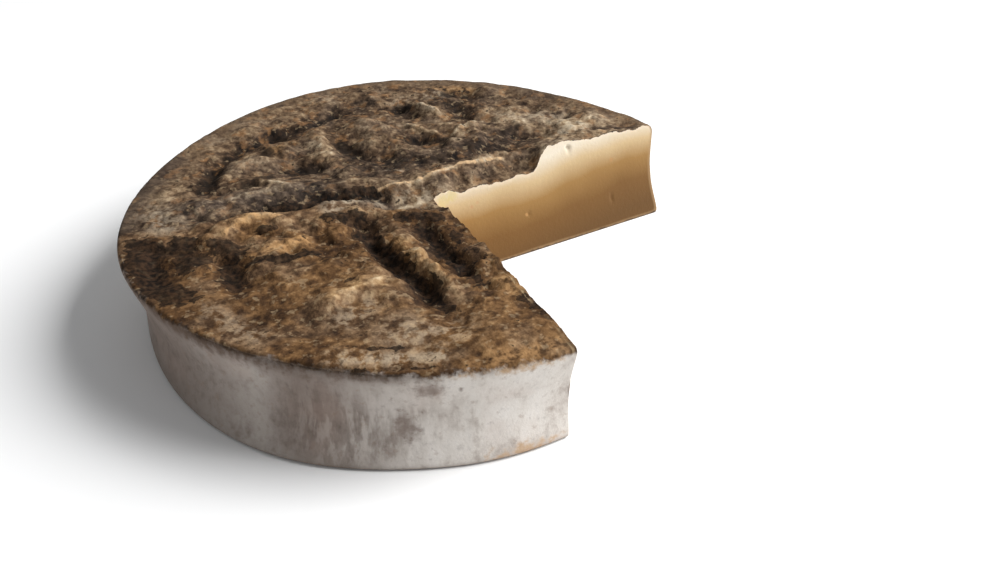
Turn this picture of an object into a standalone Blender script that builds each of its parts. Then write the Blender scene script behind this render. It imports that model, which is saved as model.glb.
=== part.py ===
"""A wheel of saint-nectaire cheese with a quarter cut away, as one solid.

The wheel stands on its flat base, centred on the origin, +Z up. The cut-out opens between
+X and -Y: the far cut face runs out along +X, the near cut face along -Y. Lengths below
are in millimetres and angles in degrees; the mesh is in metres.
"""

import math

import bmesh
import bpy
import numpy as np
from mathutils import Vector, noise

MM = 0.001

# The wheel. Waves are (how many round the wheel, height, angle of the first crest).
WHEEL_RADIUS = 115.5
WHEEL_HEIGHT = 37.7
RIM_WAVES = ((1, 0.95, 6.0), (2, 0.5, 142.0), (3, 0.75, -154.0), (4, 1.2, -3.0))

# The side wall, from the base up: a rounded foot, a shallow waist, an overhanging shoulder.
# A lobe of the foot is (how far it reaches past the rim, its angle, its half width).
FOOT_ROUND = 1.6
FOOT_INSET = 1.5
FOOT_LOBES = ((6.9, -136.0, 27.0), (1.5, -104.0, 13.0), (-2.4, 174.0, 26.0))
WAIST_DEPTH = 2.5
WAIST_SHAPE = 1.3
SHOULDER_DROP = 1.9
SHOULDER_REACH = 1.6

# The cut-out. Both cuts run out from APEX at the base. A cut's lean is how far its plane
# moves along the other cut for each millimetre of height: the far one leans back.
APEX = (2.7, -12.6)
FAR_CUT_ANGLE = 2.1
NEAR_CUT_ANGLE = 267.8
FAR_CUT_LEAN = -0.34
NEAR_CUT_LEAN = 0.035
LEAN_FADE = 42.0

# The relief of the top, seen from the front with the cut-out on the right, so turned a
# little from the wheel's own axes. A form is (height, half width, points along its middle).
LAYOUT_TURN = 23.0
LAYOUT_CENTRE = (1.0, -1.0)
CUT_FORMS = (
    (-5.6, 9.0, ((-10, -4), (8, 1), (30, 11), (42, 18))),
    (2.0, 4.0, ((-18, 4), (-6, 9), (7, 15), (17, 21), (26, 26), (37, 31))),
    (2.6, 9.0, ((57, 34), (80, 41))),
    (1.8, 4.5, ((54, 27), (60, 30))),
    (-1.4, 6.0, ((10, -20), (16, -34))),
)
BAND_FORMS = (
    (1.1, 8.0, ((-90, -10), (-70, 0), (-50, 7), (-24, 11))),
    (-3.6, 4.5, ((-62, -8), (-48, -5), (-34, -1), (-18, 1))),
    (1.0, 6.0, ((-44, -15), (-28, -11))),
    (1.6, 4.0, ((-10, -15), (2, -18))),
)
FRONT_FORMS = (
    (-4.8, 5.5, ((-24, -23), (-9, -56), (-1, -70))),
    (-2.0, 5.0, ((-1, -70), (9, -88))),
    (-3.8, 5.0, ((-1, -28), (8, -48), (13, -58))),
    (-1.6, 4.5, ((13, -58), (20, -72))),
    (1.4, 4.0, ((-14, -34), (-2, -55), (8, -72))),
    (2.0, 4.5, ((-35, -75), (-22, -65), (-9, -66))),
    (2.6, 5.5, ((-77, -29), (-67, -21), (-56, -18))),
    (1.8, 4.5, ((-58, -40), (-46, -35))),
    (-2.6, 6.0, ((-99, -37), (-93, -54))),
    (-3.0, 5.5, ((-71, -45), (-64, -61))),
    (-2.2, 5.0, ((-42, -30), (-36, -42))),
    (-1.0, 9.0, ((-60, -80), (-30, -86))),
    (1.0, 9.0, ((12, -98), (34, -96))),
)
REAR_FORMS = (
    (-2.0, 38.0, ((-45, 32), (5, 55), (45, 60))),
    (-2.8, 5.5, ((-88, 10), (-88, 27), (-82, 46), (-66, 60))),
    (-1.8, 4.5, ((-66, 60), (-50, 68), (-40, 80))),
    (1.8, 6.0, ((-81, 20), (-73, 33))),
    (1.8, 5.0, ((-66, 46), (-60, 42))),
    (-2.6, 5.0, ((-57, 27), (-48, 28))),
    (1.4, 4.0, ((-66, 14), (-54, 9))),
    (2.0, 5.0, ((-46, 55), (-41, 38))),
    (-3.0, 5.5, ((-37, 50), (-30, 40))),
    (2.0, 5.0, ((-25, 66), (-20, 48))),
    (-2.4, 5.0, ((-23, 36), (-14, 32))),
    (-3.0, 5.0, ((-11, 84), (-6, 78))),
    (2.2, 4.5, ((-1, 82), (7, 75))),
    (-2.6, 6.0, ((17, 82), (21, 72))),
    (2.0, 6.0, ((12, 62), (22, 58))),
    (-2.4, 5.0, ((-2, 50), (7, 46))),
    (2.2, 6.0, ((16, 42), (24, 46))),
    (-2.4, 4.5, ((28, 38), (38, 41))),
    (1.8, 7.0, ((38, 68), (48, 64))),
    (-2.8, 5.0, ((42, 52), (52, 50))),
    (2.0, 6.0, ((66, 55), (78, 62))),
    (-2.0, 5.0, ((58, 76), (66, 68))),
    (-1.8, 5.0, ((-46, 80), (-30, 90))),
    (-2.0, 5.0, ((14, 98), (26, 95))),
)

# Unevenness of the whole crust, as (distance between lumps, height of a lump). It fades
# towards the rim, to the share RIM_LUMPS.
LUMPS = ((34.0, 0.9), (13.0, 0.9))
LUMP_FADE = 9.0
RIM_LUMPS = 0.25
WALL_LUMPS = (46.0, 0.7)

# How finely the surface is divided.
RIM_STEPS = 136
TOP_RINGS = 29
WALL_STEPS = 5
ROUND_STEPS = 3
FITTING_ROUNDS = 8
SHARP_ANGLE = 50.0

# Material slots, as (name, colour, roughness): the top, the side and base, the cut faces.
MATERIALS = (
    ("crust", (0.10, 0.062, 0.038), 0.9),
    ("rind", (0.42, 0.37, 0.33), 0.85),
    ("paste", (0.72, 0.50, 0.20), 0.55),
)
CRUST_SLOT, RIND_SLOT, PASTE_SLOT = range(3)


def clear_scene():
    for obj in list(bpy.data.objects):
        bpy.data.objects.remove(obj, do_unlink=True)


def make_material(name, colour, roughness):
    material = bpy.data.materials.new(name)
    material.use_nodes = True
    shader = material.node_tree.nodes["Principled BSDF"]
    shader.inputs["Base Color"].default_value = (*colour, 1.0)
    shader.inputs["Roughness"].default_value = roughness
    shader.inputs["Metallic"].default_value = 0.0
    return material


def rim_radius(angle):
    """Radius of the top edge of the wheel at an angle in radians."""
    radius = WHEEL_RADIUS
    for count, height, crest in RIM_WAVES:
        radius = radius + height * np.cos(count * angle - math.radians(crest))
    return radius


def foot_radius(angle):
    """Radius of the wheel where the wall meets the foot: it bulges at the front."""
    radius = rim_radius(angle) - FOOT_INSET
    for reach, middle, half_width in FOOT_LOBES:
        off = (np.degrees(angle) - middle + 180.0) % 360.0 - 180.0
        radius = radius + reach * np.exp(-((off / half_width) ** 2))
    return radius


def wall_profile():
    """Rows of the wall from the base up, as (height, share of the way from foot to rim, inset)."""
    rows = []
    for step in range(ROUND_STEPS):
        turn = 0.5 * math.pi * step / ROUND_STEPS
        rows.append((FOOT_ROUND * (1.0 - math.cos(turn)), 0.0, FOOT_ROUND * (1.0 - math.sin(turn))))
    wall_top = WHEEL_HEIGHT - SHOULDER_DROP
    for step in range(WALL_STEPS):
        share = step / WALL_STEPS
        height = FOOT_ROUND + share * (wall_top - FOOT_ROUND)
        rows.append((height, share, WAIST_DEPTH * math.sin(math.pi * share) ** WAIST_SHAPE))
    for step in range(ROUND_STEPS + 1):
        turn = 0.5 * math.pi * step / ROUND_STEPS
        height = wall_top + SHOULDER_DROP * math.sin(turn)
        rows.append((height, 1.0, SHOULDER_REACH * (1.0 - math.cos(turn))))
    return rows


def lumps_at(x, y, z, spacing, height):
    """Smooth unevenness at each point, with lumps about one spacing apart."""
    points = np.stack(np.broadcast_arrays(x, y, z), axis=-1).reshape(-1, 3) / spacing
    values = [noise.noise(Vector(point)) for point in points]
    return height * np.array(values).reshape(np.shape(x))


def distance_to_path(x, y, path):
    """Distance of each point from a path of straight stretches."""
    nearest = np.full(np.shape(x), np.inf)
    for (x0, y0), (x1, y1) in zip(path, path[1:]):
        dx, dy = x1 - x0, y1 - y0
        along = ((x - x0) * dx + (y - y0) * dy) / (dx * dx + dy * dy)
        along = np.clip(along, 0.0, 1.0)
        gap = np.hypot(x - x0 - along * dx, y - y0 - along * dy)
        nearest = np.minimum(nearest, gap)
    return nearest


def to_layout(x, y):
    """The wheel's own coordinates, turned into those that the forms are laid out in."""
    turn = math.radians(LAYOUT_TURN)
    x, y = x - LAYOUT_CENTRE[0], y - LAYOUT_CENTRE[1]
    return x * math.cos(turn) - y * math.sin(turn), x * math.sin(turn) + y * math.cos(turn)


def top_height(x, y):
    """Height of the crust's surface over each point of the wheel's plan."""
    u, v = to_layout(x, y)
    height = np.full(np.shape(x), WHEEL_HEIGHT)
    for rise, half_width, path in (*CUT_FORMS, *BAND_FORMS, *FRONT_FORMS, *REAR_FORMS):
        height = height + rise * np.exp(-((distance_to_path(u, v, path) / half_width) ** 2))
    inside = rim_radius(np.arctan2(y, x)) - np.hypot(x, y)
    fade = np.clip(inside / LUMP_FADE, RIM_LUMPS, 1.0)
    for spacing, lump in LUMPS:
        height = height + fade * lumps_at(x, y, 0.0, spacing, lump)
    return height


def ease(value):
    """Rises smoothly from 0 to 1."""
    value = np.clip(value, 0.0, 1.0)
    return value * value * (3.0 - 2.0 * value)


def lean(x, y, height):
    """Moves points near a cut along the other cut, so that the cut's plane leans."""
    far, near = math.radians(FAR_CUT_ANGLE), math.radians(NEAR_CUT_ANGLE)
    out_x, out_y = x - APEX[0], y - APEX[1]
    for cut, other, amount in ((far, near, FAR_CUT_LEAN), (near, far, NEAR_CUT_LEAN)):
        along = out_x * math.cos(cut) + out_y * math.sin(cut)
        aside = out_y * math.cos(cut) - out_x * math.sin(cut)
        share = ease(1.0 - np.abs(aside) / LEAN_FADE) * ease(1.0 + along / LEAN_FADE)
        x = x + amount * height * share * math.cos(other)
        y = y + amount * height * share * math.sin(other)
    return x, y


def cut_to_rim(angle, radius_at):
    """Angle from the wheel's centre at which a cut from the apex leaves the wheel."""
    way = np.array((math.cos(angle), math.sin(angle)))
    reach = WHEEL_RADIUS
    for _ in range(FITTING_ROUNDS):
        point = np.array(APEX) + reach * way
        bearing = math.atan2(point[1], point[0])
        reach += float(radius_at(bearing)) - float(np.hypot(*point))
    return bearing % (2.0 * math.pi)


def rim_angles(radius_at):
    """Angles of the columns of the wall, from the far cut round to the near cut."""
    first = cut_to_rim(math.radians(FAR_CUT_ANGLE), radius_at)
    last = cut_to_rim(math.radians(NEAR_CUT_ANGLE), radius_at)
    if first > math.pi:
        first -= 2.0 * math.pi
    return np.linspace(first, last, RIM_STEPS + 1)


def wall_points(height, share, inset):
    """One row of the wall, from the far cut round to the near cut."""

    def radius_at(angle):
        return foot_radius(angle) * (1.0 - share) + rim_radius(angle) * share - inset

    angles = rim_angles(radius_at)
    radius = radius_at(angles)
    x, y = radius * np.cos(angles), radius * np.sin(angles)
    swell = lumps_at(x, y, height, *WALL_LUMPS) * math.sin(math.pi * height / WHEEL_HEIGHT)
    return x * (1.0 + swell / radius), y * (1.0 + swell / radius)


def crust_height(x, y, level):
    """Height at a row of the shoulder or the top, whose level is its height on a flat crust."""
    climb = (level - (WHEEL_HEIGHT - SHOULDER_DROP)) / SHOULDER_DROP
    height = np.full(np.shape(x), float(level))
    for _ in range(FITTING_ROUNDS):
        height = level + max(climb, 0.0) * (top_height(*lean(x, y, height)) - WHEEL_HEIGHT)
    return height


def row_of_points(x, y, level):
    height = crust_height(x, y, level)
    return np.stack((*lean(x, y, height), height), axis=1)


def wheel_rows():
    """Rows of the wall from the base up, then rings of the top from the rim to the apex."""
    rows = []
    for height, share, inset in wall_profile():
        x, y = wall_points(height, share, inset)
        rows.append(row_of_points(x, y, height))
    wall_count = len(rows)
    for ring in range(TOP_RINGS - 1, 0, -1):
        share = ring / TOP_RINGS
        columns = max(3, round(RIM_STEPS * share))
        pick = np.linspace(0.0, RIM_STEPS, columns + 1)
        edge_x = np.interp(pick, np.arange(RIM_STEPS + 1), x)
        edge_y = np.interp(pick, np.arange(RIM_STEPS + 1), y)
        ring_x = APEX[0] + share * (edge_x - APEX[0])
        ring_y = APEX[1] + share * (edge_y - APEX[1])
        rows.append(row_of_points(ring_x, ring_y, WHEEL_HEIGHT))
    return rows, wall_count


def add_row(bm, points):
    return [bm.verts.new(point * MM) for point in points]


def join_rows(bm, lower, upper, slot):
    """Triangles between two rows that may differ in their number of points."""
    i = j = 0
    while i < len(lower) - 1 or j < len(upper) - 1:
        next_lower = (i + 1) / (len(lower) - 1)
        next_upper = (j + 1) / (len(upper) - 1)
        if j == len(upper) - 1 or (i < len(lower) - 1 and next_lower <= next_upper):
            face = bm.faces.new((lower[i], lower[i + 1], upper[j]))
            i += 1
        else:
            face = bm.faces.new((lower[i], upper[j + 1], upper[j]))
            j += 1
        face.material_index = slot


def join_to_apex(bm, ring, apex):
    for first, second in zip(ring, ring[1:]):
        face = bm.faces.new((first, second, apex))
        face.material_index = CRUST_SLOT


def add_apex_edge(bm):
    """Points of the upright edge where the two cut faces meet, from the base up."""
    x, y = np.array([APEX[0]]), np.array([APEX[1]])
    top = row_of_points(x, y, WHEEL_HEIGHT)[0][2]
    edge = []
    for height, _, _ in wall_profile():
        level = height / WHEEL_HEIGHT * top
        leant_x, leant_y = lean(x, y, level)
        edge.append(bm.verts.new(np.array((leant_x[0], leant_y[0], level)) * MM))
    return edge


def add_row_between(bm, first, last, places):
    """A row from one vertex to another, with a new vertex at each of the places between."""
    return [first, *(bm.verts.new(place) for place in places), last]


def add_cut_face(bm, wall, top_edge, apex_edge, facing_out):
    """Fills a cut and returns its base edge: wall runs up its outer end, and top_edge from
    the rim to the apex."""
    inner = range(1, len(top_edge) - 1)
    shares = [step / (len(top_edge) - 1) for step in inner]
    feet = [wall[0].co.lerp(apex_edge[0].co, share) for share in shares]
    base_edge = add_row_between(bm, wall[0], apex_edge[0], feet)
    below = base_edge
    for level in range(1, len(wall)):
        climb = wall[level].co.z / wall[-1].co.z
        places = [foot.lerp(top_edge[step].co, climb) for step, foot in zip(inner, feet)]
        last_row = level == len(wall) - 1
        row = top_edge if last_row else add_row_between(bm, wall[level], apex_edge[level], places)
        for step in range(len(row) - 1):
            corners = [below[step], row[step], row[step + 1], below[step + 1]]
            face = bm.faces.new(corners if facing_out else corners[::-1])
            face.material_index = PASTE_SLOT
        below = row
    return base_edge


def build_surface(bm):
    """Adds the wall, the top, the two cut faces and the flat underside."""
    rows, wall_count = wheel_rows()
    verts = [add_row(bm, points) for points in rows]
    for level in range(len(rows) - 1):
        slot = RIND_SLOT if level < wall_count - ROUND_STEPS else CRUST_SLOT
        join_rows(bm, verts[level], verts[level + 1], slot)
    apex_edge = add_apex_edge(bm)
    join_to_apex(bm, verts[-1], apex_edge[-1])

    base_edges = []
    for end, facing_out in ((0, True), (-1, False)):
        wall = [row[end] for row in verts[:wall_count]]
        top_edge = [*(row[end] for row in verts[wall_count - 1:]), apex_edge[-1]]
        base_edges.append(add_cut_face(bm, wall, top_edge, apex_edge, facing_out))
    far_edge, near_edge = base_edges
    outline = far_edge[:0:-1] + verts[0] + near_edge[1:-1]
    underside = bm.faces.new(outline[::-1])
    underside.material_index = RIND_SLOT
    bmesh.ops.triangulate(bm, faces=bm.faces[:])
    bmesh.ops.recalc_face_normals(bm, faces=bm.faces[:])


def build_wheel():
    bm = bmesh.new()
    build_surface(bm)
    mesh = bpy.data.meshes.new("cheese")
    bm.to_mesh(mesh)
    bm.free()
    for name, colour, roughness in MATERIALS:
        mesh.materials.append(make_material(name, colour, roughness))
    mesh.shade_smooth()
    mesh.set_sharp_from_angle(angle=math.radians(SHARP_ANGLE))
    cheese = bpy.data.objects.new("cheese", mesh)
    bpy.context.scene.collection.objects.link(cheese)


clear_scene()
build_wheel()
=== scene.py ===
"""Looks of a cut wheel of saint-nectaire cheese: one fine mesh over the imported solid.

Lengths are in millimetres and angles in degrees until a point goes into the mesh, which is
in metres. The wheel's form repeats the solid's; the crags, the grain and the colours are added.
"""

import math

import bpy
import numpy as np
from mathutils import Euler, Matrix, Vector, noise


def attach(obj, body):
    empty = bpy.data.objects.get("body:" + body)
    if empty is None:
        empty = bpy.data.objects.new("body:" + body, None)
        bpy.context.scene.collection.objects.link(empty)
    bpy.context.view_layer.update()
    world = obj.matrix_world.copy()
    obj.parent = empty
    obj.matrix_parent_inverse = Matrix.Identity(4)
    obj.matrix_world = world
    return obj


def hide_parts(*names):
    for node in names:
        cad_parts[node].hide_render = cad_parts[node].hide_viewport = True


MM = 0.001

# The wheel. Waves are (how many round the wheel, height, angle of the first crest).
WHEEL_RADIUS = 115.5
WHEEL_HEIGHT = 37.7
RIM_WAVES = ((1, 0.95, 6.0), (2, 0.5, 142.0), (3, 0.75, -154.0), (4, 1.2, -3.0))

# The side wall, from the base up: a rounded foot, a shallow waist, an overhanging shoulder.
# A lobe of the foot is (how far it reaches past the rim, its angle, its half width).
FOOT_ROUND = 1.6
FOOT_INSET = 1.5
FOOT_LOBES = ((6.9, -136.0, 27.0), (1.5, -104.0, 13.0), (-2.4, 174.0, 26.0))
WAIST_DEPTH = 2.5
WAIST_SHAPE = 1.3
SHOULDER_DROP = 1.9
SHOULDER_REACH = 1.6

# The cut-out. Both cuts run out from APEX at the base. A cut's lean is how far its plane
# moves along the other cut for each millimetre of height: the far one leans back.
APEX = (2.7, -12.6)
FAR_CUT_ANGLE = 2.1
NEAR_CUT_ANGLE = 267.8
FAR_CUT_LEAN = -0.34
NEAR_CUT_LEAN = 0.035
LEAN_FADE = 42.0

# The relief of the top, seen from the front with the cut-out on the right, so turned a
# little from the wheel's own axes. A form is (height, half width, points along its middle).
LAYOUT_TURN = 23.0
LAYOUT_CENTRE = (1.0, -1.0)
CUT_FORMS = (
    (-5.6, 9.0, ((-10, -4), (8, 1), (30, 11), (42, 18))),
    (2.0, 4.0, ((-18, 4), (-6, 9), (7, 15), (17, 21), (26, 26), (37, 31))),
    (2.6, 9.0, ((57, 34), (80, 41))),
    (1.8, 4.5, ((54, 27), (60, 30))),
    (-1.4, 6.0, ((10, -20), (16, -34))),
)
BAND_FORMS = (
    (1.1, 8.0, ((-90, -10), (-70, 0), (-50, 7), (-24, 11))),
    (-3.6, 4.5, ((-62, -8), (-48, -5), (-34, -1), (-18, 1))),
    (1.0, 6.0, ((-44, -15), (-28, -11))),
    (1.6, 4.0, ((-10, -15), (2, -18))),
)
FRONT_FORMS = (
    (-4.8, 5.5, ((-24, -23), (-9, -56), (-1, -70))),
    (-2.0, 5.0, ((-1, -70), (9, -88))),
    (-3.8, 5.0, ((-1, -28), (8, -48), (13, -58))),
    (-1.6, 4.5, ((13, -58), (20, -72))),
    (1.4, 4.0, ((-14, -34), (-2, -55), (8, -72))),
    (2.0, 4.5, ((-35, -75), (-22, -65), (-9, -66))),
    (2.6, 5.5, ((-77, -29), (-67, -21), (-56, -18))),
    (1.8, 4.5, ((-58, -40), (-46, -35))),
    (-2.6, 6.0, ((-99, -37), (-93, -54))),
    (-3.0, 5.5, ((-71, -45), (-64, -61))),
    (-2.2, 5.0, ((-42, -30), (-36, -42))),
    (-1.0, 9.0, ((-60, -80), (-30, -86))),
    (1.0, 9.0, ((12, -98), (34, -96))),
)
REAR_HOLLOW = (-2.0, 38.0, ((-45, 32), (5, 55), (45, 60)))
REAR_FORMS = (
    (-2.8, 5.5, ((-88, 10), (-88, 27), (-82, 46), (-66, 60))),
    (-1.8, 4.5, ((-66, 60), (-50, 68), (-40, 80))),
    (1.8, 6.0, ((-81, 20), (-73, 33))),
    (1.8, 5.0, ((-66, 46), (-60, 42))),
    (-2.6, 5.0, ((-57, 27), (-48, 28))),
    (1.4, 4.0, ((-66, 14), (-54, 9))),
    (2.0, 5.0, ((-46, 55), (-41, 38))),
    (-3.0, 5.5, ((-37, 50), (-30, 40))),
    (2.0, 5.0, ((-25, 66), (-20, 48))),
    (-2.4, 5.0, ((-23, 36), (-14, 32))),
    (-3.0, 5.0, ((-11, 84), (-6, 78))),
    (2.2, 4.5, ((-1, 82), (7, 75))),
    (-2.6, 6.0, ((17, 82), (21, 72))),
    (2.0, 6.0, ((12, 62), (22, 58))),
    (-2.4, 5.0, ((-2, 50), (7, 46))),
    (2.2, 6.0, ((16, 42), (24, 46))),
    (-2.4, 4.5, ((28, 38), (38, 41))),
    (1.8, 7.0, ((38, 68), (48, 64))),
    (-2.8, 5.0, ((42, 52), (52, 50))),
    (2.0, 6.0, ((66, 55), (78, 62))),
    (-2.0, 5.0, ((58, 76), (66, 68))),
    (-1.8, 5.0, ((-46, 80), (-30, 90))),
    (-2.0, 5.0, ((14, 98), (26, 95))),
)

# Unevenness of the crust and of the wall, as (distance between lumps, height of a lump). The
# crust's fades towards the rim, to the share RIM_LUMPS.
LUMPS = ((34.0, 0.9), (13.0, 0.9))
LUMP_FADE = 9.0
RIM_LUMPS = 0.25
WALL_LUMPS = (46.0, 0.7)

# Fine relief that only this mesh has. FINE_FORMS are narrow creases and edges of the crust.
CREST_LINE = ((-18.4, 5), (-11, 6.3), (0, 9.8), (9.2, 15.8), (17.4, 19.7), (25.7, 23.5), (34, 27.5))
RIBBON_LINE = ((-88, -12), (-82, -5), (-73, -1), (-62, 5), (-50, 6.5))
CRESCENT = ((-74, -29), (-70.4, -24.4), (-65.7, -21.1), (-60.8, -19.6), (-56, -19.7))
APEX_EDGE = ((-10.3, -3.8), (-6, -1.9), (-1.4, -0.8), (2.6, -4))
SMALL_RIDGE = ((-32, -77), (-28, -71.7), (-19.4, -66.5), (-11, -60))
FINE_FORMS = (
    (0.6, 0.9, CREST_LINE),
    (-0.6, 1.2, ((-16, 1), (-4, 6.5), (8, 12), (19, 18), (28, 23.5))),
    (-1.0, 1.6, ((-60, -2), (-48, 0), (-38, 1), (-30, 2), (-19, 3))),
    (-1.0, 1.8, ((-58, -11), (-49, -8), (-41, -5), (-34, -1))),
    (0.8, 1.3, ((-60, -6), (-49, -4), (-41, -2.5))),
    (0.9, 1.5, APEX_EDGE),
    (0.8, 1.5, ((-27, -15.5), (-20, -16), (-14, -16))),
    (1.8, 4.0, ((7, 2), (10, 4))),
    (0.8, 5.0, ((19, 8), (38, 17))),
    (1.3, 3.0, ((41, 17.5), (42, 19))),
    (3.4, 2.8, ((51.2, 25), (52.5, 26.5))),
    (0.8, 4.0, ((60, 30), (66, 33))),
    (1.2, 6.0, ((86, 42), (100, 48))),
    (-0.9, 1.6, ((-10, -18), (-3, -18), (4, -20))),
    (-0.4, 0.8, ((-26, -99.5), (-19, -101), (-8, -100.5))),
    (-0.5, 1.0, ((-27, -110.5), (-16, -111), (-2, -111))),
    (1.2, 1.3, CRESCENT),
    (0.8, 1.8, SMALL_RIDGE),
    (-0.9, 1.6, ((-78, -20), (-70, -15), (-62, -11))),
    (0.5, 1.3, RIBBON_LINE),
    (-1.0, 1.8, ((-86, 3), (-80, 6), (-72, 10), (-64, 14))),
    (-0.6, 2.2, ((-88, 14), (-88, 27), (-82, 47), (-74, 54), (-66, 60), (-54, 68), (-40, 80))),
    (0.8, 1.6, ((-66, 14), (-56, 8))),
    (0.9, 1.4, ((-7, 66), (1, 59), (7, 55))),
    (-1.0, 2.0, ((-12, 52), (2, 52), (10, 49))),
    (0.9, 1.6, ((14, 53), (21, 60), (28, 68))),
    (-0.9, 1.8, ((-10, 84), (-5, 85))),
    (1.1, 1.8, ((-1, 82), (7, 76))),
)

# Crags are round lumps with sharp creases between them, as (distance between lumps, height).
# They run along one direction of the layout. SWELL and SINK keep their mean height near nought.
CRAGS = ((11.0, 0.9), (5.6, 0.6), (2.8, 0.28))
CRAG_ALONG = 20.0
CRAG_STRETCH = 1.35
CRAG_SWELL = 2.4
CRAG_SINK = 0.5

# Calm parts of the crust, as (share of the crags taken away, half width, points along the middle).
CALM_PATCHES = (
    (0.75, 24.0, ((-86, -74), (-40, -90), (0, -98), (34, -96))),
    (0.3, 12.0, ((-50, -60), (-20, -78))),
    (0.5, 8.0, ((-104, 0), (-96, 40), (-60, 84), (-10, 108), (50, 98))),
    (0.8, 7.0, ((-6, 3), (14, 10), (30, 19), (44, 28))),
    (0.7, 5.0, ((54, 26), (74, 34), (96, 42))),
    (0.15, 7.0, ((-90, -12), (-70, -2), (-50, 6), (-24, 10))),
)

# Crumbly parts, as (share of the crags added, half width, points along the middle).
ROUGH_PATCHES = (
    (1.2, 14.0, ((-30, -28), (-8, -50), (10, -66))),
    (0.8, 10.0, ((-80, -32), (-50, -34))),
)

# How far the large forms, and the fine lines and colours, stray from where they are laid out,
# as (distance between bends, reach).
STRAYS = ((24.0, 2.6), (10.0, 2.4), (4.5, 1.2))
LINE_STRAYS = ((13.0, 0.6), (3.6, 0.4))

# Bands of the crust that are striped across, as (share, half width, points along the middle).
STRIPED_BANDS = (
    (0.8, 7.0, ((-84, -7), (-56, 4), (-24, 9))),
    (1.0, 8.0, ((-6, 4), (14, 11), (30, 20), (46, 30))),
)
STRIPE_SPACING = 1.9
STRIPE_LENGTH = 12.0
STRIPE_HEIGHT = 0.55

# Upright flutes of the wall, as (distance between flutes, height). SQUASH makes them long, and
# FADE is how soon they reach their full height above the foot and below the shoulder.
WALL_GRAIN = ((9.0, 0.2), (3.0, 0.05))
STREAK_SQUASH = 0.2
FLUTE_FADE = 2.0

# How finely the surface is divided.
RIM_STEPS = 720
TOP_RINGS = 150
WALL_STEPS = 26
FOOT_STEPS = 4
SHOULDER_STEPS = 7
FITTING_ROUNDS = 8
SHARP_ANGLE = 50.0

# Where the crust's front half meets its back half, and over what distance they blend.
FRONT_LINE = ((-125, -26), (-90, -22), (-62, -12), (-40, -10), (-20, -9), (0, -14), (30, -20))
FRONT_BLEND = 5.0

# Colour patches of the crust, as (strength, half width, points along the middle).
DARK_PATCHES = (
    (1.0, 4.6, ((-24, -28), (-17, -41), (-8, -57), (-1, -68))),
    (0.7, 3.0, ((-2, -67), (6, -80))),
    (0.9, 3.4, ((-2, -25), (7, -46), (13, -58))),
    (0.6, 2.6, ((13, -58), (18, -68))),
    (0.6, 2.8, ((9, -30), (14, -44), (18, -52))),
    (1.0, 2.2, ((-72, -17), (-67, -12), (-58, -6), (-47, -5), (-40, 0), (-32, 3), (-20, 4))),
    (0.9, 2.2, ((-76, -34), (-69, -35))),
    (0.8, 2.0, ((-61, -28), (-56, -27))),
    (0.6, 1.6, ((-30, -66), (-24, -61))),
    (0.8, 3.5, ((-36, -19), (-23, -17))),
    (0.9, 3.0, ((-10, -19), (4, -21))),
    (0.8, 2.4, ((-78, -23), (-72, -17), (-66, -12))),
    (1.3, 6.4, ((-102, -34), (-100, -46), (-91, -62), (-84, -66))),
    (1.2, 6.4, ((-88, -34), (-84, -46))),
    (1.0, 4.5, ((-75, -35), (-69, -42))),
    (1.0, 5.0, ((-70, -46), (-67, -58))),
    (0.9, 3.0, ((-62, -48), (-50, -47), (-40, -43))),
    (0.6, 4.0, ((-36, -46), (-32, -50))),
    (0.6, 0.8, ((-26, -99.5), (-19, -101), (-8, -100.5))),
    (0.6, 1.0, ((-27, -110.5), (-16, -111), (2, -111))),
    (0.45, 2.0, ((-22, -87), (-22, -95))),
    (0.6, 3.0, ((30, -78), (36, -88))),
)
PIT_PATCHES = (
    (1.0, 4.0, ((-89, 13), (-88, 25))),
    (0.45, 3.0, ((-88, 27), (-82, 47), (-74, 54), (-66, 60), (-54, 68), (-40, 80))),
    (0.9, 3.5, ((-72, 12), (-64, 18))),
    (1.0, 3.0, ((-69, 37), (-66, 40))),
    (1.0, 3.6, ((-57, 28), (-48, 28))),
    (1.0, 4.0, ((-37, 51), (-31, 41))),
    (1.0, 3.0, ((-11, 84), (-6, 85))),
    (0.9, 3.6, ((-12, 51), (3, 52), (10, 50))),
    (0.6, 4.5, ((-12, 28), (8, 29), (25, 41))),
    (0.7, 3.0, ((36, 54), (44, 59))),
    (0.8, 3.0, ((80, 50), (94, 49))),
    (0.7, 3.0, ((12, 99), (22, 98))),
)
TAN_PATCHES = (
    (1.05, 4.0, ((-14, -34), (-2, -55), (9, -74))),
    (0.8, 2.0, SMALL_RIDGE),
    (0.8, 1.6, CRESCENT),
    (1.0, 1.1, CREST_LINE),
    (0.4, 1.2, RIBBON_LINE),
    (0.9, 1.8, APEX_EDGE),
    (0.8, 1.6, ((-27, -15.5), (-20, -16), (-14, -16))),
    (0.6, 1.2, ((-60, -6), (-49, -4), (-41, -2.5))),
    (0.7, 3.0, ((24, -66), (29, -75))),
    (0.5, 3.2, ((-46, 50), (-41, 38))),
    (0.7, 2.0, ((-66, 14), (-56, 8))),
    (0.6, 4.0, ((-81, 20), (-76, 27), (-73, 35))),
    (0.85, 13.0, ((42, 66), (80, 58))),
    (0.25, 16.0, ((16, -86), (28, -98))),
    (0.5, 8.0, ((-104, 1), (-99, 28), (-92, 46), (-81, 61), (-66, 83), (-44, 99))),
    (0.6, 3.5, ((-36, 10), (-24, 12))),
    (0.8, 1.4, ((-7, 66), (1, 59), (7, 55))),
    (0.8, 1.4, ((14, 53), (21, 60), (28, 68))),
    (0.6, 3.0, ((5, 43), (1, 33))),
)
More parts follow.
